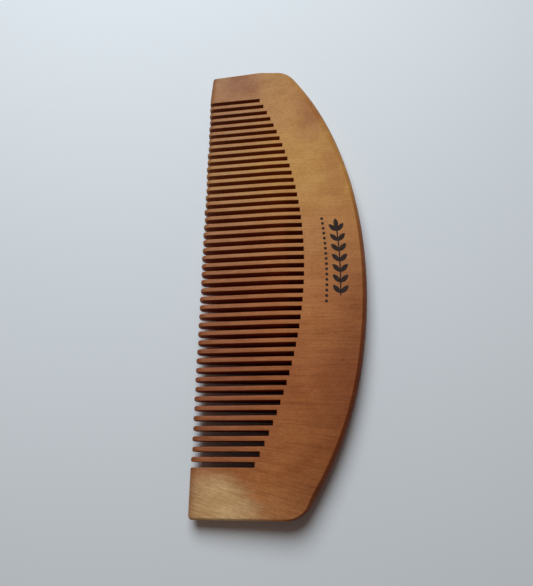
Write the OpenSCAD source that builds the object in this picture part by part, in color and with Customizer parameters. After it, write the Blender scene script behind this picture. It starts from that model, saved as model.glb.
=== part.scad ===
// Half-moon wooden hair comb, sawn from one flat blank and printed with a small sprig.
// The comb lies flat: X runs along its length, Y from the tooth tips to the back,
// Z up from the surface it rests on. The origin is the middle of its underside.

/* [Teeth] */
// Number of narrow teeth between the two end guards
tooth_count = 44; // [20:1:50]
// Width of one tooth
tooth_w = 1.2; // [0.8:0.1:2.4]
// Width of the saw cut between two teeth
gap_w = 1.2; // [0.7:0.1:2.4]
// Length of the longest saw cut, at the middle of the comb
mid_cut_len = 28.2; // [20:0.1:33]
// Length of the shortest saw cut, beside each end guard
end_cut_len = 15.6; // [8:0.1:19]
// Thickness of the teeth just behind their rounded tips
tip_t = 3.2; // [2:0.1:5]

/* [End guards] */
// Width of the end guard on the left
left_guard_w = 11.2; // [5:0.1:16]
// Width of the end guard on the right
right_guard_w = 11.5; // [5:0.1:16]
// How far the left guard's tip edge falls back towards its outer corner
left_guard_ease = 0.7; // [0:0.1:2]
// How far the right guard's tip edge falls back towards its outer corner
right_guard_ease = 0.1; // [0:0.1:2]
// How far the left guard's outer side leans in, from its root to its tip
left_guard_lean = 1.3; // [0:0.1:2]
// How far the right guard's outer side leans in, from its root to its tip
right_guard_lean = 0; // [0:0.1:2]
// Radius of the end guards' outer corners, seen from above
outer_corner_r = 1; // [0.4:0.1:2]
// Radius of the end guards' corners beside the first saw cuts
inner_corner_r = 0.4; // [0.2:0.1:1]

/* [Back] */
// Height of the comb from the tip line to the crest of its back
comb_h = 44.8; // [42:0.1:60]
// How far the crest of the back lies to the right of the middle
crest_shift = 3; // [-5:0.1:5]
// Radius of the long arc over the middle of the back
back_r = 136; // [110:1:200]
// Radius of the tighter arc at each end of the back
end_arc_r = 87; // [70:1:105]
// How far in from the left end edge its tighter arc begins
left_arc_w = 30; // [15:0.5:40]
// How far in from the right end edge its tighter arc begins
right_arc_w = 34.5; // [15:0.5:40]
// Thickness of the blank
back_t = 7; // [5:0.1:10]
// Distance from the tip line at which the blank reaches its full thickness
full_t_at = 22; // [14:0.5:40]
// Radius of the left end of the back, seen from above
left_corner_r = 7.4; // [2:0.1:9]
// Radius of the right end of the back, seen from above
right_corner_r = 8; // [2:0.1:10]
// Width of the bevel along the back's upper and lower edges
bevel_w = 1.2; // [0.4:0.1:2]
// Depth of that bevel, down the edge
bevel_d = 1.6; // [0.4:0.1:2.4]

/* [Printed sprig] */
// Length of the sprig, along the curve of the back
sprig_len = 24; // [12:0.5:36]
// Middle of the sprig, to the right of the comb's middle
sprig_x = 0.4; // [-10:0.1:10]
// Number of leaf pairs along the stem
leaf_pairs = 7; // [3:1:9]
// Length of one leaf
leaf_len = 3; // [2:0.1:5]
// Width of one leaf
leaf_w = 1.3; // [0.6:0.1:2]
// Angle between a leaf and the stem
leaf_slant = 42; // [20:1:60]
// Width of the stem
stem_w = 0.35; // [0.2:0.05:0.8]
// Diameter of one dot in the row beside the sprig
dot_d = 0.8; // [0.4:0.1:1.2]
// Distance from one dot to the next
dot_pitch = 1.5; // [1.3:0.1:4]
// Distance from the stem to the row of dots
dot_row_gap = 3.6; // [2:0.1:5]
// Thickness of the ink
ink_t = 0.05; // [0.03:0.01:0.2]

/* [Hidden] */
$fn = 96;

pitch = tooth_w + gap_w;
teeth_len = tooth_count * pitch + gap_w;
comb_len = left_guard_w + teeth_len + right_guard_w;
left_x = -comb_len / 2;
right_x = comb_len / 2;
tip_y = -comb_h / 2;
first_cut_x = left_x + left_guard_w + gap_w / 2;

// Centre of the back's long arc
back_centre = [crest_shift, tip_y + comb_h - back_r];

// The saw cuts end along one arc
cut_sag = mid_cut_len - end_cut_len;
cut_half = tooth_count * pitch / 2;
cut_r = (pow(cut_half, 2) + pow(cut_sag, 2)) / (2 * cut_sag);

// The print is centred between the longest saw cuts and the back's bevel
print_y = tip_y + (mid_cut_len + comb_h - bevel_w) / 2;
stem_r = print_y + dot_row_gap / 2 - back_centre[1];
dots_r = stem_r - dot_row_gap;
dot_count = floor(sprig_len / dot_pitch) + 1;

// Saw cuts are counted from 0, and tooth i stands between cuts i - 1 and i.
// Root 0 and the last root belong to the end guards.
function cut_x(i) = first_cut_x + i * pitch;
function cut_len(i) =
    mid_cut_len - cut_r + sqrt(pow(cut_r, 2) - pow((i - tooth_count / 2) * pitch, 2));
function root_len(i) = min(cut_len(max(i - 1, 0)), cut_len(min(i, tooth_count)));
function tooth_x(i) = cut_x(i - 1) + gap_w / 2;

// The back turns by this angle from its crest to where an end's tighter arc begins.
// side is -1 for the left end and 1 for the right end. An end's arc stands out past the
// long one there by a little, so that the two cross instead of only touching.
arc_step = 0.2;
function arc_turn(side) =
    asin((comb_len / 2 - side * crest_shift - (side < 0 ? left_arc_w : right_arc_w)) / back_r);
function arc_centre(side) =
    back_centre + (back_r - end_arc_r + arc_step) * [side * sin(arc_turn(side)), cos(arc_turn(side))];

function tooth_name(i) = str("tooth_", i < 10 ? "0" : "", i);

wood = "#a5774d";
tooth_wood = "#b0805a";
ink = "#3a302c";

// Side view of the whole comb: a wedge from the rounded tips to the full thickness
module side_profile() {
    tip_r = tip_t / 2;
    translate([tip_r, 0]) circle(r = tip_r);
    polygon([
        [tip_r, -tip_r], [full_t_at, -back_t / 2], [comb_h + bevel_w, -back_t / 2],
        [comb_h + bevel_w, back_t / 2], [full_t_at, back_t / 2], [tip_r, tip_r]
    ]);
}

// The wedge over one stretch of the length, with its underside on the resting plane
module wedge(x, width) {
    translate([x, tip_y, back_t / 2])
        rotate([90, 0, 90]) linear_extrude(width) side_profile();
}

// A disc as large as one of the back's arcs, with its rim bevelled above and below
module bevelled_disc(centre, r) {
    translate(centre) rotate_extrude($fn = 360)
        polygon([
            [0, 0], [r - bevel_w, 0], [r, bevel_d],
            [r, back_t - bevel_d], [r - bevel_w, back_t], [0, back_t]
        ]);
}

// Waste outside the tighter arc at one end of the back
module end_arc_waste(side) {
    turn = arc_turn(side);
    difference() {
        translate(arc_centre(side)) linear_extrude(back_t) polygon([
            [0, 0], back_r * [side * sin(turn), cos(turn)],
            back_r * [side, cos(turn)], [side * back_r, 0]
        ]);
        bevelled_disc(arc_centre(side), end_arc_r);
    }
}

// Waste outside a rounded corner between an end's tighter arc and its straight edge
module corner_waste(side, edge_x, r) {
    in_x = edge_x - side * r - arc_centre(side)[0];
    in_y = sqrt(pow(end_arc_r - r, 2) - pow(in_x, 2));
    reach = end_arc_r / (end_arc_r - r);
    translate(arc_centre(side)) difference() {
        polygon([
            [in_x, in_y], [in_x * reach, in_y * reach],
            [in_x * reach, in_y * reach + r], [in_x + side * 2 * r, in_y * reach + r],
            [in_x + side * 2 * r, in_y]
        ]);
        translate([in_x, in_y]) circle(r = r);
    }
}

// Outline of the back, stepped along the ends of the saw cuts and the roots of the teeth
module back_outline() {
    steps = [for (i = [0:tooth_count]) each [
        [cut_x(i) - gap_w / 2, root_len(i)],
        [cut_x(i) - gap_w / 2, cut_len(i)],
        [cut_x(i) + gap_w / 2, cut_len(i)],
        [cut_x(i) + gap_w / 2, root_len(i + 1)]
    ]];
    translate([0, tip_y]) polygon(concat(
        [[left_x, root_len(0)]], steps,
        [[right_x, root_len(0)], [right_x, comb_h], [left_x, comb_h]]
    ));
}

module back() {
    color(wood) difference() {
        intersection() {
            linear_extrude(back_t) difference() {
                back_outline();
                corner_waste(-1, left_x, left_corner_r);
                corner_waste(1, right_x, right_corner_r);
            }
            wedge(left_x, comb_len);
            bevelled_disc(back_centre, back_r);
        }
        end_arc_waste(-1);
        end_arc_waste(1);
    }
}

// A broad tooth at one end, drawn for the right end. Its tip edge falls back by ease
// from the inner corner to the outer one, and its outer side leans in by lean.
module guard_outline(width, ease, lean) {
    outer = [width - lean - outer_corner_r, ease + outer_corner_r];
    inner = [inner_corner_r, inner_corner_r];
    tilt = atan(lean / (root_len(0) - outer[1]));
    translate(outer) circle(r = outer_corner_r);
    translate(inner) circle(r = inner_corner_r);
    polygon([
        [inner[0], 0], [outer[0], ease],
        outer + outer_corner_r * [cos(tilt), -sin(tilt)],
        [width, root_len(0)], [0, root_len(0)], [0, inner[1]]
    ]);
}

module end_guard_left() {
    color(wood) intersection() {
        linear_extrude(back_t) translate([left_x + left_guard_w, tip_y])
            mirror([1, 0]) guard_outline(left_guard_w, left_guard_ease, left_guard_lean);
        wedge(left_x, left_guard_w);
    }
}

module end_guard_right() {
    color(wood) intersection() {
        linear_extrude(back_t) translate([right_x - right_guard_w, tip_y])
            guard_outline(right_guard_w, right_guard_ease, right_guard_lean);
        wedge(right_x - right_guard_w, right_guard_w);
    }
}

// One tooth, half-round at its tip when seen from above
module tooth(i) {
    r = tooth_w / 2;
    color(tooth_wood) intersection() {
        linear_extrude(back_t) translate([tooth_x(i), tip_y]) {
            translate([r, r]) circle(r = r);
            translate([0, r]) square([tooth_w, root_len(i) - r]);
        }
        wedge(tooth_x(i), tooth_w);
    }
}

// A leaf from its stalk at the origin along +X, between two equal arcs
module leaf() {
    r = (pow(leaf_len / 2, 2) + pow(leaf_w / 2, 2)) / leaf_w;
    intersection_for(side = [-1, 1])
        translate([leaf_len / 2, side * (r - leaf_w / 2)]) circle(r = r);
}

// Puts a shape on an arc beside the back's, s to the left of the sprig's middle
module on_arc(r, s) {
    translate(back_centre)
        rotate((crest_shift - sprig_x + s) / r * 180 / PI) translate([0, r]) children();
}

// Half of the sprig's stem, from its middle to the left or to the right
module half_stem(side) {
    far_r = stem_r + leaf_w;
    half_angle = (sprig_len - leaf_len) / 2 / stem_r * 180 / PI;
    on_arc(stem_r, 0) translate([0, -stem_r]) intersection() {
        difference() {
            circle(r = stem_r + stem_w / 2, $fn = 360);
            circle(r = stem_r - stem_w / 2, $fn = 360);
        }
        polygon([[0, 0], [0, far_r], [-side * far_r * sin(half_angle), far_r * cos(half_angle)]]);
    }
}

// A curved stem with slanted leaves in pairs, one leaf at its left end, and a row of dots
module printed_sprig() {
    pair_gap = (sprig_len - leaf_len) / leaf_pairs;
    color(ink) translate([0, 0, back_t]) linear_extrude(ink_t) {
        half_stem(-1);
        half_stem(1);
        on_arc(stem_r, sprig_len / 2 - leaf_len) rotate(180) leaf();
        for (i = [0:leaf_pairs - 1], side = [-1, 1])
            on_arc(stem_r, (i + 0.2) * pair_gap - sprig_len / 2 + leaf_len / 2)
                rotate(180 + side * leaf_slant) leaf();
        for (i = [0:dot_count - 1])
            on_arc(dots_r, (i - (dot_count - 1) / 2) * dot_pitch) circle(d = dot_d);
    }
}

back();
end_guard_left();
end_guard_right();
printed_sprig();
for (i = [1:tooth_count])
    tooth(i);
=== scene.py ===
"""A half-moon wooden comb, sawn from one blank, lying flat on a pale surface.

Everything is in metres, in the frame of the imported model: X runs along the comb, Y from
the tooth tips to the back, and Z up from the surface that the comb lies on.
"""
import math

import bmesh
import bpy
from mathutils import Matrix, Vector


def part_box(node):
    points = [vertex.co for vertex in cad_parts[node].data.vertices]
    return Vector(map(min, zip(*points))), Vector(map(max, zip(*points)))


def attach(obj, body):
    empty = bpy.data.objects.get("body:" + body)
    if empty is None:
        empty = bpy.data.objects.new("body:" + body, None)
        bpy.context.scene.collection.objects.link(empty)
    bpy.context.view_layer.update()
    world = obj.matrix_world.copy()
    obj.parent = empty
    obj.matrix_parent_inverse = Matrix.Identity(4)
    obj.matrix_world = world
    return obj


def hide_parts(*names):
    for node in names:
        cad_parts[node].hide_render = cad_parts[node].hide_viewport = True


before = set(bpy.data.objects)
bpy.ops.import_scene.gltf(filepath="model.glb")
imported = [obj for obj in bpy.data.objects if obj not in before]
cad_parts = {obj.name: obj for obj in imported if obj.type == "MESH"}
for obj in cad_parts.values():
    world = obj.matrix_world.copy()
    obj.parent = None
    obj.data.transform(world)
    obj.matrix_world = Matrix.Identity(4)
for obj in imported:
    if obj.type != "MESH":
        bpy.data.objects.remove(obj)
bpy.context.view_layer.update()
MM = 0.001

# ---------------------------------------------------------------- sizes, from the frame

back_low, back_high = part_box("back")
left_guard_low, left_guard_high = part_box("end_guard_left")
right_guard_low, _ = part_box("end_guard_right")
tooth_names = sorted(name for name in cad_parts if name.startswith("tooth_"))
tooth_boxes = [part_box(name) for name in tooth_names]
tooth_count = len(tooth_names)

left_x, right_x = back_low.x, back_high.x
tip_y, crest_y = left_guard_low.y, back_high.y
thickness = back_high.z - back_low.z
middle_z = thickness / 2
tooth_width = tooth_boxes[0][1].x - tooth_boxes[0][0].x
pitch = (tooth_boxes[-1][0].x - tooth_boxes[0][0].x) / (tooth_count - 1)
gap_width = pitch - tooth_width
teeth_middle_x = (left_guard_high.x + right_guard_low.x) / 2

# Saw cuts end on one arc: its rise comes from the longest and the shortest tooth
end_cut = left_guard_high.y - tip_y
mid_cut = max(high.y for _, high in tooth_boxes) - tip_y
cut_rise = mid_cut - end_cut
half_teeth = tooth_count * pitch / 2
cut_radius = (half_teeth ** 2 + cut_rise ** 2) / (2 * cut_rise)
cut_arc_y = tip_y + mid_cut - cut_radius

# The back is a long arc, whose crest lies a little to the right, between two tighter ones
CREST_SHIFT = 3.0 * MM
BACK_RADIUS = 136.0 * MM
END_ARC_RADIUS = 88.0 * MM
LEFT_ARC_WIDTH = 30.0 * MM
RIGHT_ARC_WIDTH = 34.5 * MM
back_arc_y = crest_y - BACK_RADIUS

# Rounding of the outline's corners, seen from above
LEFT_CORNER = 7.4 * MM
RIGHT_CORNER = 8.0 * MM
GUARD_OUTER_CORNER = 1.0 * MM
GUARD_INNER_CORNER = 0.4 * MM
LEFT_GUARD_EASE = 0.7 * MM
RIGHT_GUARD_EASE = 0.1 * MM
LEFT_GUARD_LEAN = 1.3 * MM
RIGHT_GUARD_LEAN = 0.0

# Sanded edges: a broad shoulder along the back, narrow at the ends, and eased saw cuts
BACK_SHOULDER = 1.5 * MM
END_SHOULDER = 0.55 * MM
LEFT_ROUNDING = 3.1 * MM
LEFT_SIDE_ROUNDING = 1.7 * MM
SAWN_EDGE = 0.17 * MM
SHOULDER_START = math.radians(25)
CREASE = math.radians(27)
WELD = 1e-7

# The blank thins from FULL_AT towards the tips, which end in a rounded nose
FULL_AT = 22.0 * MM
TAPER_BLEND = 0.5 * MM
TIP_HALF = 1.6 * MM
NOSE_LENGTH = 1.8 * MM
NOSE_SHARE = 0.3   # of the slices along a tooth
NOSE_BLUNT = 0.3
TIP_BLUNT = 0.35

# The view, the light and the surface around the comb
CAMERA_PLACE = (53.78 * MM, 2.3 * MM, 129.03 * MM)
CAMERA_TURN = (19.72, 2.93, 90.36)
CAMERA_SENSOR, CAMERA_LENS = 36.0, 30.41
WINDOW_PLACE, WINDOW_SIZE, WINDOW_POWER = (-0.21, -0.06, 0.34), 0.30, 1.56
WINDOW_COLOUR = (0.85, 0.95, 1.0)
ROOM_STRENGTH = 0.10
ROOM_COLOUR = (1.0, 0.76, 0.66)
BACKDROP_COLOUR = (6.6, 7.0, 7.4)
FLOOR_HALF = 1.5


# ---------------------------------------------------------------- rules of the shape


def smooth_step(low, high, value):
    t = min(max((value - low) / (high - low), 0.0), 1.0)
    return t * t * (3 - 2 * t)


def smooth_min(a, b, reach):
    """The same blend as the Math node's Smooth Minimum."""
    h = max(reach - abs(a - b), 0.0) / reach
    return min(a, b) - h ** 3 * reach / 6


def half_thickness(y):
    """Half of the comb's thickness at a place between the tips and the back."""
    depth = y - tip_y
    slope = (middle_z - TIP_HALF) / (FULL_AT - NOSE_LENGTH)
    half = smooth_min(TIP_HALF + (depth - NOSE_LENGTH) * slope, middle_z, TAPER_BLEND)
    if depth < NOSE_LENGTH:
        inward = 1 - max(depth, 0.0) / NOSE_LENGTH
        half *= NOSE_BLUNT + (1 - NOSE_BLUNT) * math.sqrt(1 - inward ** 2)
    return half


def cut_end(i):
    """Y of the closed end of saw cut i, counted from 0 at the left guard."""
    across = (i - tooth_count / 2) * pitch
    return cut_arc_y + math.sqrt(cut_radius ** 2 - across ** 2)


def root(i):
    """Y of the root of tooth i, counted from 1; 0 and the last belong to the guards."""
    return min(cut_end(max(i - 1, 0)), cut_end(min(i, tooth_count)))


def cut_middle_x(i):
    return teeth_middle_x + (i - tooth_count / 2) * pitch


# ---------------------------------------------------------------- solids from an outline


def rim_profile(width, start):
    """Inward distances and drops of a rounded rim, from its inner line to the wall."""
    steps = 7
    radius = width / (1 - math.sin(start))
    angles = [start + (math.pi / 2 - start) * k / steps for k in range(steps + 1)]
    return [(width - radius * (math.sin(a) - math.sin(start)),
             radius * (math.cos(start) - math.cos(a))) for a in angles]


class Station:
    """One place on the outline: a point, the way out of the wood, and its rim."""

    def __init__(self, x, y, out_angle, width, start=0.0):
        self.x, self.y = x, y
        self.out = (math.cos(out_angle), math.sin(out_angle))
        self.width, self.start = width, start

    def column(self, bm):
        """Vertices from the top face's edge, down the wall, to the underside's edge."""
        rim = rim_profile(self.width, self.start)
        upper = [(inward, thickness - drop) for inward, drop in rim]
        lower = [(inward, drop) for inward, drop in reversed(rim)]
        return [bm.verts.new((self.x - self.out[0] * inward, self.y - self.out[1] * inward, z))
                for inward, z in upper + lower]


def corner(x, y, radius, first, last, width, start=0.0, steps=6):
    """Stations round a corner whose centre is given; a radius of 0 makes a sharp one."""
    angles = [first + (last - first) * k / steps for k in range(steps + 1)]
    return [Station(x + radius * math.cos(a), y + radius * math.sin(a), a, width, start)
            for a in angles]


def solid_from_runs(name, runs):
    """A closed solid. Each run of stations is a stretch of wall, anticlockwise from above,
    and a flat hidden face closes the step from the end of one run to the next."""
    bm = bmesh.new()
    columns = [[station.column(bm) for station in run] for run in runs]
    for run in columns:
        for one, two in zip(run, run[1:]):
            for k in range(len(one) - 1):
                bm.faces.new((one[k], one[k + 1], two[k + 1], two[k]))
    for run, following in zip(columns, columns[1:] + columns[:1]):
        bm.faces.new(run[-1] + following[0][::-1])
    every = [column for run in columns for column in run]
    bm.faces.new([column[0] for column in every])
    bm.faces.new([column[-1] for column in reversed(every)])
    bmesh.ops.remove_doubles(bm, verts=bm.verts, dist=WELD)
    bmesh.ops.dissolve_degenerate(bm, edges=bm.edges, dist=WELD)
    bmesh.ops.recalc_face_normals(bm, faces=bm.faces)
    thin_towards_tips(bm)
    mesh = bpy.data.meshes.new(name)
    bm.to_mesh(mesh)
    bm.free()
    piece = bpy.data.objects.new(name, mesh)
    bpy.context.scene.collection.objects.link(piece)
    return piece


def thin_towards_tips(bm):
    """Slices the flat solid where its faces have to bend, then thins it by the rule."""
    nose = [NOSE_LENGTH * (1 - math.cos(math.pi / 2 * k / 8)) for k in range(1, 9)]
    blend = [FULL_AT + 0.5 * MM * k for k in range(-7, 8)]
    for depth in nose + blend:
        bmesh.ops.bisect_plane(
            bm, geom=bm.verts[:] + bm.edges[:] + bm.faces[:], dist=WELD,
            plane_co=(0, tip_y + depth, 0), plane_no=(0, 1, 0))
    for v in bm.verts:
        side = 1 if v.co.z > middle_z else -1
        thinned = middle_z - half_thickness(v.co.y)
        v.co.z -= side * min(thinned, abs(v.co.z - middle_z))


def plain_mesh(piece):
    """Puts what the modifiers made into the mesh itself, and removes them."""
    evaluated = piece.evaluated_get(bpy.context.evaluated_depsgraph_get())
    mesh = bpy.data.meshes.new_from_object(evaluated)
    piece.modifiers.clear()
    piece.data = mesh
    mesh.name = piece.name


def mark_sawn_walls(piece):
    """Marks the walls of the saw cuts, which stay rough from the blade; their darker colour is
    painted shade for the deep, narrow cuts, partly also a darker sawn-wood colour.
    """
    mesh = piece.data
    sawn = mesh.attributes.new("sawn", "FLOAT", "FACE")
    for face in mesh.polygons:
        steepness = (0.97 - abs(face.normal.z)) / 0.45
        between = left_guard_high.x - 1e-5 < face.center.x < right_guard_low.x + 1e-5
        inside = tip_y + NOSE_LENGTH / 2 < face.center.y < tip_y + mid_cut + 1e-5
        sawn.data[face.index].value = min(max(steepness, 0), 1) if between and inside else 0.0


def finish_wood(piece, material, nodes):
    """Smooth rims between crisp faces, the wood itself, and the piece's place."""
    bm = bmesh.new()
    bm.from_mesh(piece.data)
    for face in bm.faces:
        face.smooth = True
    for edge in bm.edges:
        edge.smooth = edge.is_manifold and edge.calc_face_angle() < CREASE
    bm.to_mesh(piece.data)
    bm.free()
    weighted = piece.modifiers.new("Even shading", "WEIGHTED_NORMAL")
    weighted.keep_sharp = True
    plain_mesh(piece)
    mark_sawn_walls(piece)
    piece.data.materials.clear()
    piece.data.materials.append(material)
    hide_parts(*nodes)
    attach(piece, "root")


# ---------------------------------------------------------------- back and end guards

RIGHT, UP, LEFT, DOWN = 0.0, math.pi / 2, math.pi, -math.pi / 2


def shape_shoulder(station):
    """A broad shoulder along the back, narrow at the right end, fully rounded at the left."""
    broad = smooth_step(right_x, right_x - 5 * MM, station.x)
    rounded = 1 - smooth_step(-45 * MM, -22 * MM, station.x)
    width = END_SHOULDER + (BACK_SHOULDER - END_SHOULDER) * broad
    station.width = width + (LEFT_ROUNDING - width) * rounded
    station.start = SHOULDER_START * (1 - rounded)


def end_side(side):
    """Rim of an end's side where the guard meets the back."""
    if side > 0:
        return END_SHOULDER, SHOULDER_START
    return LEFT_SIDE_ROUNDING, SHOULDER_START / 2


def end_arc(side):
    """Centre of the tighter arc at one end of the back, and the angle where it begins."""
    width = RIGHT_ARC_WIDTH if side > 0 else LEFT_ARC_WIDTH
    turn = math.asin(((right_x - left_x) / 2 - side * CREST_SHIFT - width) / BACK_RADIUS)
    inward = BACK_RADIUS - END_ARC_RADIUS
    return (CREST_SHIFT + side * inward * math.sin(turn),
            back_arc_y + inward * math.cos(turn), UP - side * turn)


def end_corner(side, edge_x, radius):
    """Centre of the rounded corner between an end's arc and its edge, and its far angle."""
    arc_x, arc_y, _ = end_arc(side)
    x = edge_x - side * radius
    y = arc_y + math.sqrt((END_ARC_RADIUS - radius) ** 2 - (x - arc_x) ** 2)
    return x, y, math.atan2(y - arc_y, x - arc_x)


def back_edge():
    """Stations up the right end, over the back from right to left, and down the left."""
    def arc(x, y, radius, first, last, steps):
        run = corner(x, y, radius, first, last, END_SHOULDER, SHOULDER_START, steps)
        for station in run:
            shape_shoulder(station)
        return run

    right_cx, right_cy, right_angle = end_corner(1, right_x, RIGHT_CORNER)
    left_cx, left_cy, left_angle = end_corner(-1, left_x, LEFT_CORNER)
    right_ax, right_ay, right_start = end_arc(1)
    left_ax, left_ay, left_start = end_arc(-1)
    return (
        [Station(right_x, root(0), RIGHT, *end_side(1))]
        + arc(right_cx, right_cy, RIGHT_CORNER, RIGHT, right_angle, 16)
        + arc(right_ax, right_ay, END_ARC_RADIUS, right_angle, right_start, 45)
        + arc(CREST_SHIFT, back_arc_y, BACK_RADIUS, right_start, left_start, 75)
        + arc(left_ax, left_ay, END_ARC_RADIUS, left_start, left_angle, 40)
        + arc(left_cx, left_cy, LEFT_CORNER, left_angle, LEFT, 16)
        + [Station(left_x, root(0), LEFT, *end_side(-1))]
    )


def cut_walls(i):
    """Stations round the closed end of saw cut i, from its left wall to its right one."""
    left, right = cut_middle_x(i) - gap_width / 2, cut_middle_x(i) + gap_width / 2
    end = cut_end(i)
    run = [Station(left, root(i), RIGHT, SAWN_EDGE)] if end - root(i) > 1e-6 else []
    run += corner(left, end, 0, RIGHT, DOWN, SAWN_EDGE, steps=3)
    run += corner(right, end, 0, DOWN, -LEFT, SAWN_EDGE, steps=3)
    if end - root(i + 1) > 1e-6:
        run.append(Station(right, root(i + 1), LEFT, SAWN_EDGE))
    return run


def make_back(material):
    runs = [back_edge()] + [cut_walls(i) for i in range(tooth_count + 1)]
    piece = solid_from_runs("comb_back", runs)
    finish_wood(piece, material, ["back"])


def make_guard(name, side, inner_x, outer_x, ease, lean, material, node):
    """A broad tooth: side is 1 at the right end of the comb and -1 at the left. Its tip
    edge falls back by ease, and its outer side leans in towards the tip by lean."""
    inner_cx = inner_x + side * GUARD_INNER_CORNER
    outer_cx = outer_x - side * (lean + GUARD_OUTER_CORNER)
    outer_cy = tip_y + ease + GUARD_OUTER_CORNER
    tilt = side * math.atan(lean / (root(0) - outer_cy))
    out_of_inner, out_of_outer = (LEFT, RIGHT) if side > 0 else (RIGHT, LEFT)
    turn = side * (math.pi / 2)
    inner = [Station(inner_x, root(0), out_of_inner, SAWN_EDGE)]
    inner += corner(inner_cx, tip_y + GUARD_INNER_CORNER, GUARD_INNER_CORNER,
                    out_of_inner, out_of_inner + turn, SAWN_EDGE)
    outer = corner(outer_cx, outer_cy, GUARD_OUTER_CORNER,
                   out_of_outer - turn, out_of_outer - tilt, SAWN_EDGE, steps=8)
    for k, station in enumerate(outer):
        share = k / (len(outer) - 1)
        station.width = SAWN_EDGE + (END_SHOULDER - SAWN_EDGE) * share
        station.start = SHOULDER_START * share
    outer.append(Station(outer_x, root(0), out_of_outer, *end_side(side)))
    run = inner + outer
    if side < 0:
        run.reverse()
    piece = solid_from_runs(name, [run])
    finish_wood(piece, material, [node])


# ---------------------------------------------------------------- node-writing helpers


class Wire:
    """One socket of a node tree, on which arithmetic can be written."""

    def __init__(self, graph, socket):
        self.graph, self.socket = graph, socket

    def __add__(self, other):
        return self.graph.math("ADD", self, other)

    def __radd__(self, other):
        return self.graph.math("ADD", other, self)

    def __sub__(self, other):
        return self.graph.math("SUBTRACT", self, other)

    def __rsub__(self, other):
        return self.graph.math("SUBTRACT", other, self)

    def __mul__(self, other):
        return self.graph.math("MULTIPLY", self, other)

    def __rmul__(self, other):
        return self.graph.math("MULTIPLY", other, self)

    def __truediv__(self, other):
        return self.graph.math("DIVIDE", self, other)

    def __pow__(self, power):
        return self.graph.math("POWER", self, power)

    def out(self, output):
        """Another output of the same node, by its name or number."""
        return Wire(self.graph, self.socket.node.outputs[output])


class Graph:
    """A shader or geometry node tree that is written as expressions."""

    def __init__(self, tree):
        self.tree = tree

    def node(self, kind, settings=None, inputs=()):
        """Adds a node: its settings first, then its inputs by name, number or order."""
        made = self.tree.nodes.new(kind)
        for key, value in (settings or {}).items():
            setattr(made, key, value)
        pairs = inputs.items() if isinstance(inputs, dict) else enumerate(inputs)
        for key, value in pairs:
            if isinstance(value, Wire):
                self.tree.links.new(value.socket, made.inputs[key])
            else:
                made.inputs[key].default_value = value
        return Wire(self, made.outputs[0])

    def math(self, operation, *values):
        return self.node("ShaderNodeMath", {"operation": operation}, values)

    def combine(self, x, y, z):
        return self.node("ShaderNodeCombineXYZ", inputs=(x, y, z))

    def step(self, low, high, value):
        """A smooth step from 0 at low to 1 at high, which may run downwards."""
        return self.node("ShaderNodeMapRange", {"interpolation_type": "SMOOTHSTEP"},
                         {"Value": value, "From Min": low, "From Max": high})

    def noise(self, vector, scale, detail=2.0, roughness=0.5):
        return self.node("ShaderNodeTexNoise", inputs={
            "Vector": vector, "Scale": scale, "Detail": detail, "Roughness": roughness})

    def ramp(self, factor, stops):
        """A colour ramp through (place, colour) stops, eased between them."""
        wire = self.node("ShaderNodeValToRGB", inputs=(factor,))
        band = wire.socket.node.color_ramp
        band.interpolation = "EASE"
        for place, colour in stops[1:-1]:
            band.elements.new(place).color = (*colour, 1.0)
        for element, (place, colour) in ((band.elements[0], stops[0]),
                                         (band.elements[-1], stops[-1])):
            element.position, element.color = place, (*colour, 1.0)
        return wire

    def mix(self, factor, one, two, blend="MIX"):
        """Mixes two colours, each a wire or an (r, g, b)."""
        one, two = [c if isinstance(c, Wire) else (*c, 1.0) for c in (one, two)]
        return self.node("ShaderNodeMix", {"data_type": "RGBA", "blend_type": blend},
                         {0: factor, 6: one, 7: two}).out(2)


def new_material(name):
    material = bpy.data.materials.new(name)
    material.use_nodes = True
    graph = Graph(material.node_tree)
    shader = material.node_tree.nodes["Principled BSDF"]

    def surface(**sockets):
        for key, value in sockets.items():
            socket = shader.inputs[key.replace("_", " ").title().replace("Ior", "IOR")]
            if isinstance(value, Wire):
                graph.tree.links.new(value.socket, socket)
            else:
                socket.default_value = value
    return material, graph, surface


# ---------------------------------------------------------------- finishes


def linear(red, green, blue):
    """A colour as a maker would mix it on screen, from 0 to 255, in linear light."""
    def one(value):
        value /= 255
        return value / 12.92 if value <= 0.04045 else ((value + 0.055) / 1.055) ** 2.4
    return one(red), one(green), one(blue)


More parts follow.
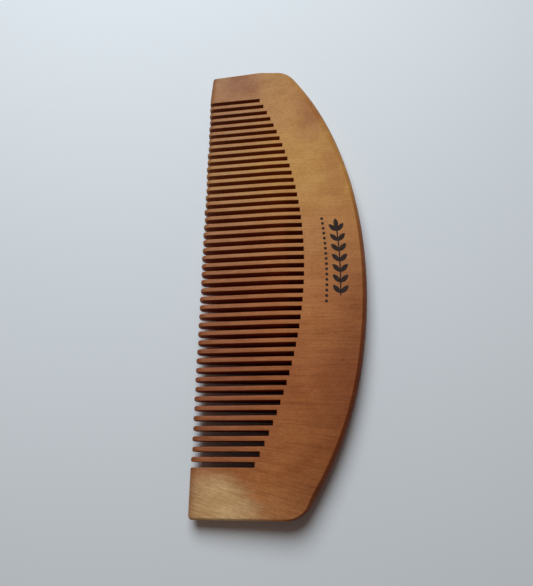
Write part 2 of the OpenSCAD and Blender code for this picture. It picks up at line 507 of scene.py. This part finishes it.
def wood_material():
    """Fine-grained fruitwood, oiled and handled: golden on the left, redder and darker towards
    the right, with pale sapwood in the right guard. Painted shade darkens the top near the
    back's right edge, the rounded shoulder, the saw cuts (partly their own darker colour) and
    the tip noses, and a painted highlight brightens the sapwood's centre."""
    material, g, surface = new_material("comb wood")
    place = g.node("ShaderNodeTexCoord").out("Object")
    split = g.node("ShaderNodeSeparateXYZ", inputs=(place,))
    x, y, z = split.out("X"), split.out("Y"), split.out("Z")
    clouds = g.noise(place, 70.0, 3.0, 0.6) - 0.5
    streaky = g.noise(g.combine(x * 520.0, y * 60.0, z * 200.0), 1.0, 3.0, 0.6) - 0.5

    def patch(centre_x, centre_y, half_x, half_y):
        """A soft-edged patch of other wood."""
        off_x = (x - centre_x * MM + clouds * 12 * MM) / (half_x * MM)
        off_y = (y - centre_y * MM + clouds * 16 * MM + streaky * 3 * MM) / (half_y * MM)
        return g.step(1.35, 0.25, (off_x ** 2.0 + off_y ** 2.0) ** 0.5)

    # Colour along the comb, from the left end to the right one
    along = (x + clouds * 12 * MM - left_x) / (right_x - left_x)
    colour = g.ramp(along, (
        (0.0, linear(182, 131, 76)), (0.12, linear(187, 131, 73)), (0.28, linear(199, 143, 72)),
        (0.46, linear(189, 124, 66)), (0.62, linear(185, 113, 58)), (0.76, linear(171, 98, 50)),
        (0.90, linear(176, 105, 55)), (1.0, linear(192, 126, 75))))

    # Painted shade darkens the top towards the back's edge on the right; redder wood in the
    # guard and the upper left
    centre = g.combine(x - CREST_SHIFT, y - back_arc_y, 0.0)
    from_back = BACK_RADIUS - g.node(
        "ShaderNodeVectorMath", {"operation": "LENGTH"}, (centre,)).out("Value")
    painted_back_shade = g.step(15 * MM, 1 * MM, from_back + clouds * 8 * MM) * g.step(-22 * MM, 22 * MM, x)
    colour = g.mix(painted_back_shade, colour, (0.70, 0.63, 0.62), "MULTIPLY")
    reddish = g.math("MAXIMUM", patch(-58.5, -11, 5, 6), patch(-46, 8, 9, 4) * 0.8)
    reddish = g.math("MAXIMUM", reddish, patch(-29, 15, 12, 3) * 0.7)
    colour = g.mix(reddish, colour, (0.80, 0.68, 0.72), "MULTIPLY")

    # Pale sapwood fills the right guard's tip half, up to a slanting, streaky boundary
    boundary = (x - 54 * MM) * 1.1 - 14.5 * MM + streaky * 9 * MM + clouds * 6 * MM
    sapwood = (g.step(4.5 * MM, -4.5 * MM, y - boundary)
               * g.step(51 * MM, 59 * MM, x + streaky * 3 * MM))
    colour = g.mix(sapwood * 0.8, colour, linear(196, 154, 112))
    # A brighter centre in the sapwood: partly paler wood, partly a painted highlight for the
    # sheen there
    colour = g.mix(patch(60.5, -14, 8, 8) * sapwood * 0.8, colour, linear(226, 182, 128))

    # Fibres run with the teeth and lean over in the right guard
    across = x - g.step(34 * MM, 60 * MM, x) * 0.26 * y
    fibres = g.noise(g.combine(across * 1500.0, y * 150.0, z * 700.0), 1.0, 2.0, 0.6)
    lines = g.noise(g.combine(across * 2700.0, y * 80.0, z * 900.0), 1.0, 2.0, 0.5)
    pores = g.noise(g.combine(across * 5200.0, y * 420.0, z * 4000.0), 1.0, 2.0, 0.7)
    mottle = g.noise(g.combine(x * 190.0, y * 130.0 + x * 60.0, z * 120.0), 1.0, 4.0, 0.65)
    strong = 0.22 + g.step(-35 * MM, 30 * MM, x) * 0.6
    colour = g.mix(g.step(0.36, 0.66, mottle) * 0.75, colour, (0.84, 0.76, 0.66), "MULTIPLY")
    colour = g.mix(g.step(0.48, 0.74, fibres) * strong * 0.42, colour,
                   (0.66, 0.56, 0.48), "MULTIPLY")
    colour = g.mix(g.step(0.50, 0.66, lines) * strong * 0.55, colour,
                   (0.70, 0.62, 0.56), "MULTIPLY")
    colour = g.mix(g.step(0.46, 0.34, lines) * strong * 0.40, colour,
                   (1.18, 1.22, 1.25), "MULTIPLY")
    colour = g.mix(g.step(0.56, 0.74, pores) * 0.40, colour, (0.55, 0.42, 0.34), "MULTIPLY")
    specks = g.noise(g.combine(across * 2600.0, y * 1100.0, z * 2000.0), 1.0, 2.0, 0.6)
    colour = g.mix(g.step(0.38, 0.66, specks) * 0.60, colour, (0.80, 0.74, 0.68), "MULTIPLY")

    # Oil and handling lift the whole colour a little
    colour = g.mix(0.60, colour, (1.10, 1.13, 1.16), "MULTIPLY")

    # Painted shade on the back's rounded shoulder, where its faces curve down to the edge
    off_middle = g.math("ABSOLUTE", z - middle_z)
    shoulder = (g.step(middle_z - 0.01 * MM, middle_z - 0.15 * MM, off_middle)
                * g.step(tip_y + FULL_AT, tip_y + FULL_AT + 3 * MM, y)
                * g.step(-28 * MM, -6 * MM, x))
    colour = g.mix(shoulder * 0.85, colour, (0.58, 0.42, 0.40), "MULTIPLY")

    # Saw cuts get a deep red brown: painted shade for the deep, narrow cuts, partly also a
    # darker sawn-wood colour. The teeth are tinted from handling, and the tip noses get painted
    # shade.
    sawn = g.node("ShaderNodeAttribute", {"attribute_name": "sawn"}).out("Fac")
    colour = g.mix(sawn, colour, (0.72, 0.50, 0.58), "MULTIPLY")
    handled = g.step(tip_y + 25 * MM, tip_y + 5 * MM, y) * g.step(56 * MM, 50 * MM, x)
    colour = g.mix(handled, colour, (0.85, 0.86, 1.22), "MULTIPLY")
    # Painted shade: the last two millimetres or so at the tips, the rounded noses and the
    # guards' tip edges, are darkened
    ease = LEFT_GUARD_EASE / (left_guard_high.x - left_x)
    from_tip = y - tip_y - g.math("MAXIMUM", left_guard_high.x - x, 0.0) * ease
    tips = g.step(2.2 * MM, 0.3 * MM, from_tip)
    colour = g.mix(tips * 0.55, colour, (0.55, 0.42, 0.34), "MULTIPLY")

    height = fibres * 0.4 + lines * 0.3 + pores * 0.3
    bump = g.node("ShaderNodeBump", inputs={"Strength": 0.25, "Distance": 0.05 * MM,
                                            "Height": height})
    surface(base_color=colour, roughness=0.42 + fibres * 0.10 + mottle * 0.10 + sawn * 0.25,
            normal=bump, specular_ior_level=0.15)
    return material


def ink_material():
    """Dark printing ink, thin and slightly broken where the wood's pores show."""
    material, g, surface = new_material("printing ink")
    place = g.node("ShaderNodeTexCoord").out("Object")
    wear = g.noise(place, 2600.0, 3.0, 0.6)
    colour = g.mix(g.step(0.35, 0.75, wear), linear(38, 28, 27), linear(70, 50, 42))
    surface(base_color=colour, roughness=0.6 + wear * 0.2, specular_ior_level=0.12)
    return material


def floor_material():
    material, g, surface = new_material("pale floor")
    place = g.node("ShaderNodeTexCoord").out("Object")
    cloud = g.noise(place, 9.0, 3.0, 0.5)
    colour = g.mix(cloud, linear(227, 228, 231), linear(231, 232, 234))
    surface(base_color=colour, roughness=0.85, specular_ior_level=0.2)
    return material


# ---------------------------------------------------------------- teeth


def teeth_tree():
    """Rounded bars in a row, each as long as the rule says, thinned to a rounded nose."""
    tree = bpy.data.node_groups.new("Sawn teeth", "GeometryNodeTree")
    sockets = {}

    def add_input(name, kind, value=None):
        socket = tree.interface.new_socket(name, in_out="INPUT", socket_type=kind)
        if value is not None:
            socket.default_value = value
        sockets[name] = socket.identifier

    sizes = {
        "Pitch": pitch, "Tooth width": tooth_width, "Middle": teeth_middle_x,
        "Tip line": tip_y, "Cut arc centre": cut_arc_y, "Cut arc radius": cut_radius,
        "Thickness": thickness, "Tip half thickness": TIP_HALF, "Full thickness at": FULL_AT,
        "Nose length": NOSE_LENGTH, "Sawn edge": SAWN_EDGE,
    }
    for name, value in sizes.items():
        add_input(name, "NodeSocketFloat", value)
    add_input("Teeth", "NodeSocketInt", tooth_count)
    add_input("Seed", "NodeSocketInt", 7)
    add_input("Wood", "NodeSocketMaterial")
    tree.interface.new_socket("Geometry", in_out="OUTPUT", socket_type="NodeSocketGeometry")

    g = Graph(tree)
    given = tree.nodes.new("NodeGroupInput")
    size = {name: Wire(g, given.outputs[name]) for name in sockets}

    # A unit bar: a rounded section, carried along Y from 0 to 1
    section = g.node("GeometryNodeCurvePrimitiveQuadrilateral", {"mode": "RECTANGLE"},
                     {"Width": size["Tooth width"], "Height": size["Thickness"]})
    section = g.node("GeometryNodeFilletCurve", {"mode": "POLY"}, {
        "Curve": section, "Count": 4, "Radius": size["Sawn edge"]})
    axis = g.node("GeometryNodeCurvePrimitiveLine", {"mode": "POINTS"},
                  {"Start": (0, 0, 0), "End": (0, 1, 0)})
    axis = g.node("GeometryNodeResampleCurve", {"mode": "COUNT"}, {"Curve": axis, "Count": 56})
    bar = g.node("GeometryNodeCurveToMesh", inputs={
        "Curve": axis, "Profile Curve": section, "Fill Caps": True})

    # One bar for each tooth
    row = g.node("GeometryNodePoints", inputs={"Count": size["Teeth"]})
    row = g.node("GeometryNodeStoreNamedAttribute", {"data_type": "INT", "domain": "POINT"}, {
        "Geometry": row, "Name": "tooth", "Value": g.node("GeometryNodeInputIndex")})
    bars = g.node("GeometryNodeInstanceOnPoints", inputs={"Points": row, "Instance": bar})
    bars = g.node("GeometryNodeRealizeInstances", inputs=(bars,))

    # Where a point is: which tooth, and how far along it
    tooth = g.node("GeometryNodeInputNamedAttribute", {"data_type": "INT"}, {"Name": "tooth"})
    place = g.node("ShaderNodeSeparateXYZ", inputs=(g.node("GeometryNodeInputPosition"),))
    x, along, z = place.out("X"), place.out("Y"), place.out("Z")

    def vary(low, high, offset):
        return g.node("FunctionNodeRandomValue", {"data_type": "FLOAT"}, {
            2: low, 3: high, "ID": tooth, "Seed": size["Seed"] + offset}).out(1)

    # The tooth runs from its tip to the end of the shallower saw cut beside it
    from_middle = tooth - size["Teeth"] / 2.0 + 0.5
    shallow = (g.math("ABSOLUTE", from_middle) + 0.5) * size["Pitch"]
    root_y = size["Cut arc centre"] + (size["Cut arc radius"] ** 2.0 - shallow ** 2.0) ** 0.5
    start_y = size["Tip line"] + vary(0.0, 0.25 * MM, 1)
    length = root_y - start_y
    on_nose = 1.0 - g.math("COSINE", g.math("MINIMUM", along / NOSE_SHARE, 1.0) * (math.pi / 2))
    behind = g.math("MAXIMUM", (along - NOSE_SHARE) / (1.0 - NOSE_SHARE), 0.0)
    depth = on_nose * size["Nose length"] + behind * (length - size["Nose length"])
    y = start_y + depth

    # Thickness by the same rule as the back's
    full_half = size["Thickness"] / 2.0
    slope = ((full_half - size["Tip half thickness"])
             / (size["Full thickness at"] - size["Nose length"]))
    from_tips = y - size["Tip line"]
    wedge = size["Tip half thickness"] + (from_tips - size["Nose length"]) * slope
    half = g.math("SMOOTH_MIN", wedge, full_half, TAPER_BLEND)
    inward = 1.0 - g.math("MINIMUM", depth / size["Nose length"], 1.0)
    half = half * (NOSE_BLUNT + (1.0 - NOSE_BLUNT) * (1.0 - inward ** 2.0) ** 0.5)
    new_z = full_half + z - g.math("SIGN", z) * (full_half - half)

    # Seen from above the tip is half round, and the bar leans and narrows a touch
    centre = size["Middle"] + from_middle * size["Pitch"]
    inward = 1.0 - g.math("MINIMUM", depth / (size["Tooth width"] / 2.0), 1.0)
    plan = TIP_BLUNT + (1.0 - TIP_BLUNT) * (1.0 - inward ** 2.0) ** 0.5
    free = (root_y - y) / length
    narrow = 1.0 - free * vary(0.0, 0.06, 2)
    new_x = centre + x * plan * narrow + free * vary(-0.05 * MM, 0.05 * MM, 3)

    teeth = g.node("GeometryNodeSetPosition", inputs={
        "Geometry": bars, "Position": g.combine(new_x, y, new_z)})
    teeth = g.node("GeometryNodeSetMaterial", inputs={
        "Geometry": teeth, "Material": size["Wood"]})
    result = tree.nodes.new("NodeGroupOutput")
    tree.links.new(teeth.socket, result.inputs[0])
    return tree, sockets


def make_teeth(material):
    piece = bpy.data.objects.new("comb_teeth", bpy.data.meshes.new("comb_teeth"))
    bpy.context.scene.collection.objects.link(piece)
    tree, sockets = teeth_tree()
    rule = piece.modifiers.new("Sawn teeth", "NODES")
    rule.node_group = tree
    rule[sockets["Wood"]] = material
    plain_mesh(piece)
    finish_wood(piece, material, tooth_names)


# ---------------------------------------------------------------- floor, light, camera


def make_floor():
    mesh = bpy.data.meshes.new("floor")
    half = FLOOR_HALF
    mesh.from_pydata([(-half, -half, 0), (half, -half, 0), (half, half, 0), (-half, half, 0)],
                     [], [(0, 1, 2, 3)])
    floor = bpy.data.objects.new("floor", mesh)
    bpy.context.scene.collection.objects.link(floor)
    mesh.materials.append(floor_material())


def add_area_light(name, place, target, size, power, colour):
    data = bpy.data.lights.new(name, "AREA")
    data.shape, data.size, data.energy, data.color = "DISK", size, power, colour
    light = bpy.data.objects.new(name, data)
    light.location = place
    light.rotation_euler = (Vector(target) - Vector(place)).to_track_quat("-Z", "Y").to_euler()
    bpy.context.scene.collection.objects.link(light)


def make_lights():
    """One large window, and a dim warm room that the camera itself sees as a pale backdrop."""
    scene = bpy.context.scene
    scene.view_settings.view_transform = "Standard"
    world = bpy.data.worlds.new("warm room")
    scene.world = world
    world.use_nodes = True
    room = world.node_tree.nodes["Background"]
    room.inputs["Strength"].default_value = ROOM_STRENGTH
    g = Graph(world.node_tree)
    seen = g.node("ShaderNodeLightPath").out("Is Camera Ray")
    colour = g.mix(seen, ROOM_COLOUR, BACKDROP_COLOUR)
    g.tree.links.new(colour.socket, room.inputs["Color"])
    add_area_light("window", WINDOW_PLACE, (0, 0, 0), WINDOW_SIZE, WINDOW_POWER, WINDOW_COLOUR)


def make_camera():
    data = bpy.data.cameras.new("camera")
    data.sensor_width, data.lens = CAMERA_SENSOR, CAMERA_LENS
    data.clip_start = 0.01
    camera = bpy.data.objects.new("camera", data)
    camera.location = CAMERA_PLACE
    camera.rotation_euler = [math.radians(angle) for angle in CAMERA_TURN]
    bpy.context.scene.collection.objects.link(camera)
    bpy.context.scene.camera = camera


make_camera()
make_lights()
make_floor()
wood = wood_material()
make_back(wood)
make_guard("left_end_guard", -1, left_guard_high.x, left_x, LEFT_GUARD_EASE,
           LEFT_GUARD_LEAN, wood, "end_guard_left")
make_guard("right_end_guard", 1, right_guard_low.x, right_x, RIGHT_GUARD_EASE,
           RIGHT_GUARD_LEAN, wood, "end_guard_right")
make_teeth(wood)

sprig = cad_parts["printed_sprig"]
sprig.data.materials.clear()
sprig.data.materials.append(ink_material())
